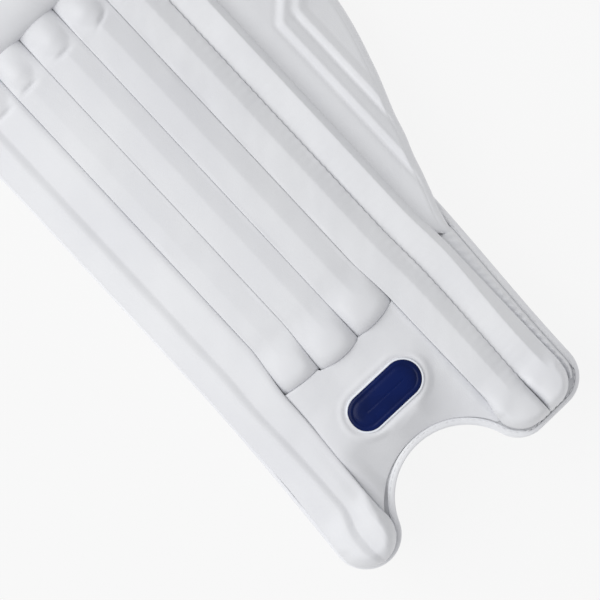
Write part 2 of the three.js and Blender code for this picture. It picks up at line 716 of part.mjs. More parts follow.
// The wing: a padded leaf that lies on the flange and runs out past it on the shell's own curve.
function sideWing() {
  const rings = WING_EDGE.map((row) => {
    const y = WING_START + row.along * WING_LENGTH;
    const { inner, outer } = wingSides(y);
    const front = WING_SECTION.map((point) => {
      const x = mix(inner, outer, point.across);
      return [x, y, wingTop(x, y)];
    });
    const behind = [0.98, 0.66, 0.33, 0.02].map((share) => {
      const x = mix(inner, outer, share);
      return [x, y, wingBase(x)];
    });
    return [...front, ...behind];
  });
  return loft(rings);
}

// A raised line on the wing. It runs beside the flange, then turns out at 45 degrees to the edge.
function wingLine(offset) {
  const half = WING_LINE_WIDTH / 2;
  const bend = WING_START + WING_BEND;
  const centre = (y) => seamAt("wing_foot", y) + offset;
  const inside = ([x, y]) => wingSides(y).outer - x > 1.5 * WING_LINE_WIDTH;
  const straight = steps(WING_START, bend - WING_LINE_WIDTH, 9).map((y) => [centre(y), y]);
  const slant = steps(WING_LINE_WIDTH, WING_REACH, 7).map((run) => [centre(bend) + run, bend + run]);
  const corner = [[centre(bend) + 0.2 * half, bend - 0.5 * half]];
  const path = [...straight.filter(inside), ...corner, ...slant.filter(inside)];
  const rings = path.map(([x, y], i) => {
    const before = path[Math.max(0, i - 1)];
    const after = path[Math.min(path.length - 1, i + 1)];
    const length = Math.hypot(after[0] - before[0], after[1] - before[1]);
    const across = [(after[1] - before[1]) / length, (before[0] - after[0]) / length];
    const end = i === 0 || i === path.length - 1 ? 0.45 : 1;
    const at = (share, rise) => {
      const px = x + share * half * end * across[0];
      const py = y + share * half * end * across[1];
      return [px, py, wingTop(px, py) + SEAT_GAP + rise];
    };
    const tall = end * WING_LINE_HEIGHT;
    const left = [at(-1, 0), at(-0.8, 0.65 * tall), at(-0.4, tall)];
    const right = [at(0.4, tall), at(0.8, 0.65 * tall), at(1, 0)];
    return [...left, ...right];
  });
  return loft(rings);
}

// The section of the padding behind, the same all the way up.
function paddingSection() {
  const { left, right } = BOLSTERS;
  const top = steps(left, right, FACET).map((x) => [x, shellTop(x) - PADDING_DEPTH]);
  const hollowLeft = left + BOLSTER_WIDTH;
  const hollowRight = right - BOLSTER_WIDTH;
  const ceiling = (x) => shellTop(x) - PADDING_DEPTH - WEB_THICKNESS;
  const spring = 2.5 * BOLSTER_ROUND;
  return [
    ...top,
    [right, 2 * BOLSTER_ROUND],
    [right - BOLSTER_ROUND, 0],
    [hollowRight + BOLSTER_ROUND, 0],
    [hollowRight, BOLSTER_ROUND],
    [hollowRight, ceiling(hollowRight) - spring],
    ...steps(hollowRight - spring, hollowLeft + spring, 2 * FACET).map((x) => [x, ceiling(x)]),
    [hollowLeft, ceiling(hollowLeft) - spring],
    [hollowLeft, BOLSTER_ROUND],
    [hollowLeft - BOLSTER_ROUND, 0],
    [left + BOLSTER_ROUND, 0],
    [left, 2 * BOLSTER_ROUND],
  ];
}

function backPadding() {
  const section = paddingSection();
  const ring = (y) => section.map(([x, z]) => [x, y, z]);
  const bar = solidOf(loft([ring(-TAPE_WIDTH), ring(PAD_LENGTH + TAPE_WIDTH)]));
  const plan = solidOf(prism(inset(OUTLINE, PADDING_INSET)));
  let padding = bar.intersect(plan);
  for (const strap of STRAPS) {
    const half = strap.width / 2 + STRAP_GAP;
    const centre = strap.up * PAD_LENGTH;
    const deep = STRAP_THICKNESS + STRAP_GAP;
    const notch = box(2 * SHELL_LEFT, 2 * SHELL_RIGHT, centre - half, centre + half, -deep, deep);
    padding = padding.subtract(solidOf(notch));
  }
  return geometryOf(padding);
}

// A strap: it lies flat under the bolsters and turns up against the outside of each.
function strapGeometry({ width, up }) {
  const centre = up * PAD_LENGTH;
  const left = BOLSTERS.left - SEAT_GAP;
  const right = BOLSTERS.right + SEAT_GAP;
  const inner = [
    [left, STRAP_RISE],
    [left, 2 * BOLSTER_ROUND],
    [left + 0.55 * BOLSTER_ROUND, STRAP_THICKNESS],
    [right - 0.55 * BOLSTER_ROUND, STRAP_THICKNESS],
    [right, 2 * BOLSTER_ROUND],
    [right, STRAP_RISE],
  ];
  const outer = [
    [right + STRAP_THICKNESS, STRAP_RISE],
    [right + STRAP_THICKNESS, 1.8 * BOLSTER_ROUND],
    [right - 0.2 * BOLSTER_ROUND, 0],
    [left + 0.2 * BOLSTER_ROUND, 0],
    [left - STRAP_THICKNESS, 1.8 * BOLSTER_ROUND],
    [left - STRAP_THICKNESS, STRAP_RISE],
  ];
  const shape = new THREE.Shape([...inner, ...outer].map(([x, z]) => new THREE.Vector2(x, z)));
  const band = new THREE.ExtrudeGeometry(shape, { depth: width, bevelEnabled: false });
  return band.rotateX(Math.PI / 2).translate(0, centre + width / 2, 0);
}

const FINISH = {
  leather: { color: 0xe2e3e6, roughness: 0.5, metalness: 0 },
  lining: { color: 0xe6e6e4, roughness: 0.9, metalness: 0 },
  tape: { color: 0xe8e9ea, roughness: 0.6, metalness: 0 },
  strap: { color: 0xdedfe1, roughness: 0.8, metalness: 0 },
  badge: { color: 0x0a2360, roughness: 0.25, metalness: 0 },
};

const pad = new THREE.Group();

function addPiece(name, geometry, finish) {
  const piece = new THREE.Mesh(geometry, new THREE.MeshStandardMaterial(FINISH[finish]));
  piece.name = name;
  pad.add(piece);
}

addPiece("backing_board", backingBoard(), "leather");
addPiece("edge_binding", edgeBinding(), "tape");
for (const rib of RIBS) addPiece(rib.name, shinRib(rib), "leather");
for (let i = 0; i < KNEE_ROLLS; i++) addPiece(`knee_roll_${i + 1}`, kneeRoll(i), "leather");
for (const rib of RIBS) addPiece(`top_${rib.name}`, hatRib(rib), "leather");
addPiece("instep_panel", instepPanel(), "leather");
addPiece("instep_badge", instepBadge(), "badge");
addPiece("side_wing", sideWing(), "leather");
WING_LINE_OFFSETS.forEach((offset, i) => addPiece(`wing_line_${i + 1}`, wingLine(offset), "leather"));
addPiece("back_padding", backPadding(), "lining");
for (const strap of STRAPS) addPiece(strap.name, strapGeometry(strap), "strap");

// The origin is the middle of the pad's box, on the surface that it rests on.
const bounds = new THREE.Box3().setFromObject(pad);
pad.position.set(-(bounds.min.x + bounds.max.x) / 2, -(bounds.min.y + bounds.max.y) / 2, -bounds.min.z);

export default pad;
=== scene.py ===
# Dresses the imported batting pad. Lengths are in millimetres, from the middle of the leg and the
# pad's foot end, up to to_world(), which turns them into the frame's metres.
import math

import bmesh
import bpy
import numpy as np
from mathutils import Matrix, Vector


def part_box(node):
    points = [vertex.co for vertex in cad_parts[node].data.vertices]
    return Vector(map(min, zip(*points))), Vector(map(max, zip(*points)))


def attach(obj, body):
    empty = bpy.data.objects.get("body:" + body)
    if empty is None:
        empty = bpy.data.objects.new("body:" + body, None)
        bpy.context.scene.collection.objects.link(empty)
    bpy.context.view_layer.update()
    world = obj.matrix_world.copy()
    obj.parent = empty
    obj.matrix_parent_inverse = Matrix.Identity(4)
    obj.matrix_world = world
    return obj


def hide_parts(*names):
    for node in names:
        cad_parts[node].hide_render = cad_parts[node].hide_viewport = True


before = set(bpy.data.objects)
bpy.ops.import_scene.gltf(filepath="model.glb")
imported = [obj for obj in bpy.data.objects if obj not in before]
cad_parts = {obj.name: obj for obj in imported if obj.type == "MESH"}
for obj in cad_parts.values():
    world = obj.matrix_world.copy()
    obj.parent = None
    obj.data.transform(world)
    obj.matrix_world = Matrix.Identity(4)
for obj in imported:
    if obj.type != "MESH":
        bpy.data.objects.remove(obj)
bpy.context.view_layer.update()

SHIN_LENGTH = 410.0
KNEE_ROLL_WIDTH = 52.0
KNEE_TOP = SHIN_LENGTH + 3 * KNEE_ROLL_WIDTH
TOP_HAT_LENGTH = 119.0
PAD_LENGTH = KNEE_TOP + TOP_HAT_LENGTH
INSTEP_LENGTH = 122.0
BULB_LENGTH = 44.0
SHELL_RADIUS = 260.0
SHELL_CREST = 72.0
FACE_WIDTH = 177.6
FACE_LEFT = -0.472 * FACE_WIDTH
FACE_RIGHT = FACE_LEFT + FACE_WIDTH
SHELL_LEFT = FACE_LEFT - 1.6
SHELL_RIGHT = FACE_RIGHT + 12.0
LOBE_FLARE = 7.0
FLANGE_FLARE = 4.5
TOP_CORNER = 48.0
TAPE_WIDTH = 4.8
RIB_THICKNESS = 22.0
PANEL_THICKNESS = 15.5
BADGE_CENTRE = 84.3
BADGE_WIDTH = 58.0
BADGE_HEIGHT = 27.0
WING_START = 133.8
WING_LENGTH = 451.0
WING_REACH = 63.0
WING_THICKNESS = 9.0
WING_BEND = 169.0

INNER_LOBE = (SHELL_LEFT - LOBE_FLARE + 23.0, 27.0, 23.0)
OUTER_LOBE_RIGHT = (SHELL_RIGHT - 22.0, 22.0, 22.0)
OUTER_LOBE_LEFT = (SHELL_RIGHT - 69.0 + 22.0, 22.0, 22.0)
ARCH_TOP = 46.7

# The frame's origin seen from the source's: the tape reaches the pad's lowest X and Y.
TAPE_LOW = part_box("edge_binding")[0]
SHIFT = np.array([TAPE_LOW[0] * 1000 - SHELL_LEFT + LOBE_FLARE, TAPE_LOW[1] * 1000, 0.0])

# Where the face's seams run, as shares of its width: on the shin, at the bulbs and at the lobes.
SEAMS = {
    "inner_edge": (0.0, -0.006, -0.038),
    "inner_seam": (0.236, 0.209, 0.183),
    "centre_seam_1": (0.382, 0.367, 0.367),
    "centre_seam_2": (0.544, 0.544, 0.544),
    "outer_seam": (0.708, 0.722, 0.727),
    "wing_seam": (0.87, 0.878, 0.867),
    "wing_foot": (1.0, 1.012, 1.016),
}


def to_world(points):
    return (np.asarray(points, dtype=float) + SHIFT) / 1000


def mix(a, b, t):
    return a + (b - a) * t


def smooth(t):
    t = np.clip(t, 0, 1)
    return t * t * (3 - 2 * t)


def round_up(distance, radius):
    """Rises from 0 to 1 over a quarter circle of that radius."""
    return np.sqrt(np.clip(1 - (1 - np.clip(distance / radius, 0, 1)) ** 2, 0, 1))


def bump_at(distance, width):
    return np.exp(-((distance / width) ** 2))


def shell(x):
    return SHELL_CREST - SHELL_RADIUS + np.sqrt(SHELL_RADIUS**2 - np.asarray(x, dtype=float) ** 2)


def seam(name, y):
    shin, bulb, lobe = SEAMS[name]
    low = mix(lobe, bulb, smooth((y - 23.0) / (INSTEP_LENGTH - 23.0)))
    x = FACE_LEFT + FACE_WIDTH * mix(low, shin, smooth((y - INSTEP_LENGTH) / BULB_LENGTH))
    if name == "wing_seam":
        x = x + 0.22 * np.sin(np.asarray(y) * (2 * math.pi / 5.8)) * smooth((y - 20.0) / 20)
    return x


def ripple(points, size, seed, octaves=2):
    """A smooth random field of about -1 to 1, with features of about that size."""
    random = np.random.default_rng(seed)
    total = np.zeros(points.shape[:-1])
    weight = 1.0
    for _ in range(octaves):
        waves = random.normal(size=(9, 3)) * (2 * math.pi / size / 1.7)
        phases = random.uniform(0, 2 * math.pi, 9)
        total += weight * np.sin(points @ waves.T + phases).sum(-1) / 4.5
        size /= 2.2
        weight *= 0.5
    return total


def arch_between(inner, outer):
    across, up = outer[0] - inner[0], outer[1] - inner[1]
    apart = math.hypot(across, up)

    def centre(radius):
        a, b = radius + inner[2], radius + outer[2]
        along = (a * a - b * b + apart * apart) / (2 * apart)
        off = math.sqrt(max(0.0, a * a - along * along))
        x = inner[0] + (along * across + off * up) / apart
        return x, inner[1] + (along * up - off * across) / apart, radius

    low, high = (apart - inner[2] - outer[2]) / 2, 20 * apart
    for _ in range(60):
        middle = (low + high) / 2
        if centre(middle)[1] + middle > ARCH_TOP:
            low = middle
        else:
            high = middle
    return centre(high)


ARCH = arch_between(INNER_LOBE, OUTER_LOBE_LEFT)


def heading(a, b):
    return math.degrees(math.atan2(b[1] - a[1], b[0] - a[0]))


def arc(circle, start, end):
    turn = np.radians(np.linspace(start, end, 60))
    return np.stack([circle[0] + circle[2] * np.cos(turn), circle[1] + circle[2] * np.sin(turn)], -1)


def inner_swing(y):
    rest = INSTEP_LENGTH + BULB_LENGTH - INNER_LOBE[1]
    return LOBE_FLARE * np.clip(1 - (y - INNER_LOBE[1]) / rest, 0, 1) ** 1.5


def outer_swing(y):
    return FLANGE_FLARE * smooth((y - 22.0) / (1.1 * WING_START))


def plan_outline(step):
    """The pad's plan outline, anticlockwise, with even steps."""
    fall = np.linspace(PAD_LENGTH - TOP_CORNER, INNER_LOBE[1], 200)
    rise = np.linspace(22.0, PAD_LENGTH - TOP_CORNER, 200)
    right = SHELL_RIGHT + FLANGE_FLARE - TOP_CORNER
    parts = [
        np.stack([SHELL_LEFT - inner_swing(fall), fall], -1),
        arc(INNER_LOBE, 180, 360 + heading(INNER_LOBE, ARCH)),
        arc(ARCH, heading(ARCH, INNER_LOBE), heading(ARCH, OUTER_LOBE_LEFT)),
        arc(OUTER_LOBE_LEFT, 360 + heading(OUTER_LOBE_LEFT, ARCH), 270),
        arc(OUTER_LOBE_RIGHT, 270, 360),
        np.stack([SHELL_RIGHT + outer_swing(rise), rise], -1),
        arc((right, PAD_LENGTH - TOP_CORNER, TOP_CORNER), 0, 90),
        arc((SHELL_LEFT + TOP_CORNER, PAD_LENGTH - TOP_CORNER, TOP_CORNER), 90, 180),
    ]
    loop = np.concatenate(parts)
    loop = np.concatenate([loop, loop[:1]])
    far = np.concatenate([[0], np.cumsum(np.linalg.norm(np.diff(loop, axis=0), axis=1))])
    places = np.linspace(0, far[-1], int(far[-1] / step) + 1)[:-1]
    return np.stack([np.interp(places, far, loop[:, i]) for i in range(2)], -1)


def outwards(loop):
    along = np.roll(loop, -1, axis=0) - np.roll(loop, 1, axis=0)
    along /= np.linalg.norm(along, axis=1)[:, None]
    return np.stack([along[:, 1], -along[:, 0]], -1)


OUTLINE = plan_outline(2.2)


def edge_distance(x, y):
    """How far each point is from the pad's plan outline."""
    flat = np.stack([np.ravel(x), np.ravel(y)], -1)
    nearest = np.full(len(flat), 1e9)
    for i in range(0, len(OUTLINE), 60):
        gap = flat[:, None, :] - OUTLINE[None, i : i + 60, :]
        nearest = np.minimum(nearest, np.sqrt((gap**2).sum(-1)).min(-1))
    return nearest.reshape(np.shape(x))


def tape_reach(x, y):
    """How far the tape comes in over the face: less where a rib's rounded foot leaves a groove."""
    beside_rib = 2.3 * bump_at(y - 80, 52) * smooth((-72 - x) / 5)
    lobes = np.maximum(1.3 * smooth((-50 - x) / 5), 1.9 * smooth((x - 46) / 5))
    return TAPE_WIDTH - np.maximum(beside_rib, smooth((17 - y) / 6) * lobes)


def seat(x, y):
    """The lowest place for a pad in front: on the shell, or over the tape at its edge."""
    return shell(x) + 0.3 + 1.7 * smooth((tape_reach(x, y) + 1.1 - edge_distance(x, y)) / 0.9)


def new_object(name, mesh, material):
    mesh.materials.append(material)
    for face in mesh.polygons:
        face.use_smooth = True
    piece = bpy.data.objects.new(name, mesh)
    bpy.context.scene.collection.objects.link(piece)
    return piece


def grid_mesh(name, rings, caps=True, is_loop=False):
    """A mesh through rings of points: each ring is closed, and the run of rings is capped or closed."""
    count, size = rings.shape[:2]
    points = to_world(rings.reshape(-1, 3))
    index = np.arange(count * size).reshape(count, size)
    if is_loop:
        index = np.concatenate([index, index[:1]])
    beside = np.roll(index, -1, axis=1)
    quads = np.stack([index[:-1], beside[:-1], beside[1:], index[1:]], -1).reshape(-1, 4)
    faces = quads.tolist()
    points = points.tolist()
    if caps and not is_loop:
        for row in (0, count - 1):
            points.append(to_world(rings[row].mean(0)).tolist())
            ring = index[row]
            faces += [(len(points) - 1, int(a), int(b)) for a, b in zip(ring, np.roll(ring, -1))]
    mesh = bpy.data.meshes.new(name)
    mesh.from_pydata(points, [], faces)
    work = bmesh.new()
    work.from_mesh(mesh)
    bmesh.ops.recalc_face_normals(work, faces=work.faces)
    work.to_mesh(mesh)
    work.free()
    return mesh


def dress(name, mesh, material, nodes=()):
    piece = new_object(name, mesh, material)
    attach(piece, "root")
    if nodes:
        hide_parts(*nodes)
    return piece


def colour(code):
    """A colour picked in sRGB, such as E6E7E9, as the shader's linear one."""
    channels = [int(code[i : i + 2], 16) / 255 for i in (0, 2, 4)]
    linear = [c / 12.92 if c <= 0.04045 else ((c + 0.055) / 1.055) ** 2.4 for c in channels]
    return (*linear, 1.0)


def add(tree, kind, **settings):
    """Adds a node. Settings with a socket's name set or link it, and the others set properties."""
    node = tree.nodes.new(kind)
    for key, value in settings.items():
        name = key.replace("_", " ")
        socket = next((s for s in node.inputs if s.name == name), None)
        if socket is None:
            setattr(node, key, value)
        elif isinstance(value, bpy.types.NodeSocket):
            tree.links.new(value, socket)
        else:
            socket.default_value = value
    return node


def woven(tree, place, spacing):
    """Crossed threads that far apart in mm, as a height. A wave's scale is 314 to its length in mm."""
    heights = []
    for direction in ("X", "Y"):
        threads = add(
            tree, "ShaderNodeTexWave", Vector=place, Scale=314.16 / spacing, Distortion=0.4,
            wave_type="BANDS", bands_direction=direction,
        )
        heights.append(threads.outputs["Fac"])
    both = add(tree, "ShaderNodeMath", operation="MULTIPLY")
    for height, socket in zip(heights, both.inputs):
        tree.links.new(height, socket)
    return both.outputs[0]


def grained(tree, place, size):
    """A pressed grain with cells of that size in mm, roughened by a finer noise, as a height."""
    cells = add(tree, "ShaderNodeTexVoronoi", Vector=place, Scale=1000 / size, feature="SMOOTH_F1")
    fine = add(tree, "ShaderNodeTexNoise", Vector=place, Scale=2200 / size, Detail=3.0)
    both = add(tree, "ShaderNodeMath", operation="ADD")
    tree.links.new(cells.outputs["Distance"], both.inputs[0])
    tree.links.new(fine.outputs["Fac"], both.inputs[1])
    return both.outputs[0]


def surface(name, light, dark, roughness, relief, size, depth, patch=71.4, sheen=0.0, specular=0.4):
    """Two close tones in patches, and a relief, woven or grained, in the bump. Sizes are in mm."""
    material = bpy.data.materials.new(name)
    material.use_nodes = True
    tree = material.node_tree
    tree.nodes.clear()
    place = add(tree, "ShaderNodeTexCoord").outputs["Object"]
    tone = add(tree, "ShaderNodeTexNoise", Vector=place, Scale=1000 / patch, Detail=4.0, Roughness=0.55)
    ramp = add(tree, "ShaderNodeValToRGB", Fac=tone.outputs["Fac"])
    for element, position, code in zip(ramp.color_ramp.elements, (0.35, 0.65), (dark, light)):
        element.position = position
        element.color = colour(code)
    rough = add(
        tree, "ShaderNodeMapRange", Value=tone.outputs["Fac"],
        To_Min=roughness - 0.06, To_Max=roughness + 0.06,
    )
    bump = add(
        tree, "ShaderNodeBump", Height=relief(tree, place, size), Strength=0.5, Distance=depth / 1000,
    )
    shader = add(
        tree, "ShaderNodeBsdfPrincipled", Base_Color=ramp.outputs["Color"],
        Roughness=rough.outputs["Result"], Normal=bump.outputs["Normal"],
    )
    shader.inputs["Sheen Weight"].default_value = sheen
    shader.inputs["Specular IOR Level"].default_value = specular
    add(tree, "ShaderNodeOutputMaterial", Surface=shader.outputs["BSDF"])
    return material


# Leather coated with polyurethane and pressed with a grain: an even satin white with a faint tooth.
# The real grain is about 0.4 mm and is drawn at twice that, so that it shows.
LEATHER = surface("grained_coated_leather", "E0E1E4", "DBDCE0", 0.5, grained, 0.8, 0.09)
# The same leather made a little lighter, as painted light, on the wing's side: on the wing rib, the wing and the
# flange, which the ribs' shade darkens.
PAINTED_LIGHT_LEATHER = surface("painted_light_coated_leather", "E6E7EA", "E1E2E6", 0.5, grained, 0.8, 0.09)
# A thin coated strip folded over the edge: smoother and whiter than the face.
TAPE = surface("folded_coated_tape", "EBECEF", "E3E4E8", 0.52, grained, 0.667, 0.08)
# Plain-woven polyester: dull and warm, with a soft edge of light. Its 0.3 mm threads are drawn at
# 1.2 mm, so that they show.
LINING = surface("woven_polyester", "EDEDEC", "E2E2E1", 0.9, woven, 1.208, 0.2, sheen=0.3)
# Woven nylon tape: dull, with a visible weave. Its 1 mm threads are drawn at 2 mm, so that they show.
WEBBING = surface("woven_nylon_webbing", "EDEDEE", "DDDEE1", 0.8, woven, 1.963, 0.3, sheen=0.2)
# Twisted polyester thread: small bright dashes.
THREAD = surface("twisted_polyester", "F4F4F5", "E3E4E8", 0.6, grained, 0.4, 0.06, patch=11.1)
# Moulded soft PVC: a deep smooth navy with a clear shine.
NAVY = surface("moulded_navy_pvc", "021750", "01103F", 0.26, grained, 1.11, 0.02, patch=25.0, specular=0.14)
# The same, in white, as the badge's thin edge.
PALE_RIM = surface("moulded_white_pvc", "F2F4F8", "E4E8F0", 0.35, grained, 0.714, 0.04)

# The inner edge rib's section: the share of the way from its outer seam to its inner one, the share of
# its full height along the shin, and the same in its bulbs.
DOUBLE_CREST = np.array([
    (0.0, 0.3, 0.3), (0.03, 0.42, 0.44), (0.1, 0.57, 0.66), (0.19, 0.74, 0.86), (0.27, 0.905, 0.94),
    (0.31, 0.955, 0.95), (0.345, 0.965, 0.94), (0.39, 0.945, 0.9), (0.475, 0.87, 0.82), (0.5, 0.872, 0.83),
    (0.62, 0.903, 0.92), (0.72, 0.93, 0.97), (0.82, 0.957, 0.98), (0.88, 0.972, 0.95), (0.93, 0.968, 0.9),
    (0.97, 0.945, 0.83), (1.0, 0.91, 0.72),
])


def straight_roof(t, ridge, left, right):
    """A rib's straight section: it falls from its ridge to those shares of its height at the seams."""
    span = np.where(t < ridge, ridge, 1 - ridge)
    fall = np.where(t < ridge, 1 - left, 1 - right)
    away = np.sqrt((t - ridge) ** 2 + 0.02**2) - 0.02
    return 0.985 - fall * np.clip(away / span, 0, 1)


def rib_rows(start, end, foot_bulb, top_bulb, pitch):
    """Heights up the leg: close together in the rounded ends and wider on the straight."""
    tip = np.array([0.0, 0.12, 0.4, 0.9, 1.5, 2.3, 3.2])
    low = np.arange(start + 4.2, start + foot_bulb + 14, 1.2)
    high = np.arange(end - top_bulb - 12, end - 4.2, 1.2)
    middle = np.arange(start + foot_bulb + 14, end - top_bulb - 12, pitch)
    return np.concatenate([start + tip, low, middle, high, end - tip[::-1]])


def add_humps(h, x, y, ground, balls):
    """Raises the filling's round humps. Each is x, y, radius, rise, and the depth and turn of the
    crease below it."""
    for centre_x, centre_y, radius, rise, crease, turn in balls:
        dx, dy = x - centre_x, y - centre_y
        lower = dx * math.sin(turn) - dy * math.cos(turn)
        aside = dx * math.cos(turn) + dy * math.sin(turn)
        stretch = 1 + 0.5 * crease * smooth(dy / radius)
        away = np.hypot(dx, dy / stretch) / radius
        crisp = crease * smooth(lower / radius * 1.6) * bump_at(aside, 0.6 * radius)
        full = 0.985 * RIB_THICKNESS + rise * (1 - away**2)
        h = h + ground * (full - h) * np.maximum(1 - away**2, 0) ** mix(1.7, 0.45, crisp)
        fold = bump_at(lower - 0.97 * radius, 1.3) * bump_at(aside, 0.5 * radius)
        h = h - 1.8 * crease * ground * fold
    return h


def rounded_sides(lows, highs, ys, circle):
    """Brings a rib's sides in to its round end."""
    cx, cy, radius, way, side = circle
    inside = (ys - cy) * way > 0
    reach = np.sqrt(np.maximum(radius**2 - (ys - cy) ** 2, 0.01))
    round_side = np.where(inside, reach, radius)
    if side < 0 and way < 0:
        lows = mix(lows, cx - round_side, smooth((40 - ys) / 17))
    elif side <= 0:
        lows = np.where(inside, np.maximum(lows, cx - reach), lows)
    if side > 0:
        highs = np.where(inside, np.minimum(highs, cx + reach), highs)
    if side == 0:
        highs = mix(highs, cx + round_side - 0.3, smooth((36 - ys) / 10))
    return lows, highs


def end_distances(x, y, foot, top, circle):
    """How far each point is from the rib's foot end and from its top end."""
    low_end = foot[:, None] * np.ones_like(x)
    high_end = top[:, None] * np.ones_like(x)
    if circle:
        cx, cy, radius, way, side = circle
        fade = 0.8 if side else mix(0.8, 0.4, smooth((x - cx) / 10))
        past = (y - cy) * way
        rim = radius - np.hypot(x - cx, np.maximum(past, 0)) + fade * np.maximum(-past, 0)
        beside = (x - cx) * side >= 0 if side else True
        if way < 0:
            low_end = np.where(beside, np.minimum(low_end, np.maximum(rim, 0)), low_end)
        else:
            high_end = np.where(beside, np.minimum(high_end, np.maximum(rim, 0)), high_end)
    return low_end, high_end


def rib(
    name, left, right, start, end, shape, seed, ends=(44.0, 30.0), ball=(13.0, 10.0), pitch=4.0,
    puckers=0.0, balls=(), circle=None, line=(0.0, 0.0, 0.0), swell=(1.04, 1.0, 13.0),
    walls=(0.0, 0.8), lean=0.0, low_ridge=None, hold=0.0, material=LEATHER,
):
    """A padded rib: a crest along the leg between two seams, closed by a rounded bulb at each end.

    shape: the ridge's place between the seams and the heights at them, or None for the double crest
    ends, ball, walls: each end's bulb length, the length that rounds, and its least height
    circle: a round end in a lobe or corner: x, y, radius, which end, and which sides it rounds
    line: how far the foot rises at the left and right seams, and bows down between them
    swell: how much each bulb swells, at the foot and the top, and the foot's length of it
    lean, low_ridge, hold: the foot bulb's rise to the right, its ridge, and how much of it is full
    """
    ys = rib_rows(start, end, ends[0], ends[1], pitch)
    s = np.linspace(0, 1, 61)
    t = 0.45 * s + 0.55 * (0.5 - 0.5 * np.cos(np.pi * s))
    lows = seam(left, ys) + 0.01
    highs = seam(right, ys) - 0.01
    if left == "inner_edge":
        lows = np.maximum(lows, SHELL_LEFT - inner_swing(ys) + 1.2 + 1.6 * bump_at(ys - 80, 50))
    if circle:
        lows, highs = rounded_sides(lows, highs, ys, circle)
    highs = np.maximum(highs, lows + 1)
    middle, width = (lows + highs) / 2, highs - lows
    foot, top = ys - start, end - ys
    x = middle[:, None] + (t[None, :] - 0.5) * width[:, None]
    bow = mix(line[0], line[1], t) - line[2] * (1 - (2 * t - 1) ** 2)
    y = ys[:, None] + bow[None, :] * (1 - smooth(foot / 40))[:, None]
    low_bulb = 1 - smooth((foot / ends[0] - hold) / (1 - hold))
    bulb = np.maximum(low_bulb, 1 - smooth(top / ends[1]))[:, None]
    if shape is None:
        valley = 0.5 * inner_swing(ys) / LOBE_FLARE - 0.52 * smooth((54 - ys) / 28)
        warped = t[None, :] ** (1 + valley)[:, None]
        straight = np.interp(warped, DOUBLE_CREST[:, 0], DOUBLE_CREST[:, 1])
        dome = np.interp(warped, DOUBLE_CREST[:, 0], DOUBLE_CREST[:, 2])
        low_share = (1 - smooth((ys - 60) / 70))[:, None]
        straight = straight - 0.07 * smooth((warped - 0.6) / 0.28) * low_share
    else:
        ridge = mix(low_ridge or shape[0], shape[0], smooth((ys - 55) / 75))[:, None]
        straight = straight_roof(t[None, :], ridge, *shape[1:])
        fullness = np.maximum(1 - np.abs(2 * t - 1) ** (2.4 + 8 * lean), 0) ** 0.6
        dome = 0.66 + 0.36 * fullness[None, :]
        dome = dome + lean * (t[None, :] - 0.5) * smooth((30 - foot) / 22)[:, None]
    h = mix(straight, dome, bulb)
    wall = np.minimum(t, 1 - t)[None, :] * width[:, None]
    h = h * (0.965 + 0.035 * round_up(wall, 0.9))
    lift = 1 + (swell[0] - 1) * bump_at(foot - 12, swell[2])[:, None]
    lift += (swell[1] - 1) * bump_at(top - 12, 9)[:, None]
    lift -= 0.035 * bump_at(foot - ends[0], 8)[:, None] + 0.03 * smooth(1 - (top - 24) / 8)[:, None]
    h = h * lift
    low_end, high_end = end_distances(x, y, foot, top, circle)
    low_ball = ball[0]
    if circle and circle[4] == 0:
        low_ball = mix(ball[0], 0.95 * ball[0], smooth((x - circle[0]) / 10))
    low_round = mix(walls[0], 1, round_up(low_end, low_ball))
    h = RIB_THICKNESS * h * low_round * mix(walls[1], 1, round_up(high_end, ball[1]))
    open_ground = smooth(np.minimum(low_end, high_end) / 6) * smooth(wall / 3)
    place = np.stack([x, y, np.zeros_like(x)], -1)
    h = h + open_ground * (0.28 * ripple(place, 46, seed) + 0.06 * ripple(place, 13, seed + 1))
    if puckers:
        from_right = width[:, None] * (1 - t)[None, :]
        wave = np.sin(y * (2 * math.pi / 6.3) + 1.6 * ripple(place * [0, 1, 0], 60, seed + 2))
        h = h + puckers * wave * bump_at(from_right - 2.5, 3.2) * smooth(wall / 1.5)
    ground = smooth(wall / 6) * smooth(low_end / 10) * round_up(high_end, 3)
    h = add_humps(h, x, y, ground, balls)
    floor = seat(x, y)
    front = np.stack([x, y, np.maximum(shell(x) + 0.3 + h, floor + 0.35)], -1)
    down = 1 - np.array([0.75, 0.45, 0.15])[None, :, None]
    base = np.stack([x, y, floor], -1)
    right_wall = mix(front[:, -1:, :], base[:, -1:, :], down)
    left_wall = mix(front[:, :1, :], base[:, :1, :], down[:, ::-1, :])
    share = np.linspace(0.97, 0.03, 9)
    under_x = mix(lows[:, None], highs[:, None], share[None, :])
    under_y = np.stack([np.interp(share, t, row) for row in y])
    below = np.stack([under_x, under_y, seat(under_x, under_y)], -1)
    rings = np.concatenate([front, right_wall, below, left_wall], 1)
    dress(name + "_cover", grid_mesh(name, rings), material, (name,))


TOP = SHIN_LENGTH + 0.6
# A shin rib's foot: its height, how far it rises at its left and right seams, and its bow down.
BULB_ENDS = {
    "centre_rib_1": (126.0, 1.3, -1.0, 0.8),
    "centre_rib_2": (122.8, 0.7, -0.6, 2.7),
    "centre_rib_3": (124.1, -1.3, 1.3, 2.1),
}

rib(
    "inner_edge_rib", "inner_edge", "inner_seam", 6.0, TOP, None, 11,
    circle=(-70.9, 26.5, 20.5, -1, 0), ball=(9.0, 5.0), walls=(0.1, 0.8), swell=(1.15, 1.0, 17.0),
    hold=0.7, balls=((-55, 391, 13, 2.0, 0.8, 0),),
)


def centre_rib(name, left, right, shape, seed, balls):
    start, *line = BULB_ENDS[name]
    rib(
        name, left, right, start, TOP, shape, seed, line=line, ball=(9.5, 5.0), ends=(32.0, 30.0),
        walls=(0.68, 0.8), balls=balls,
    )


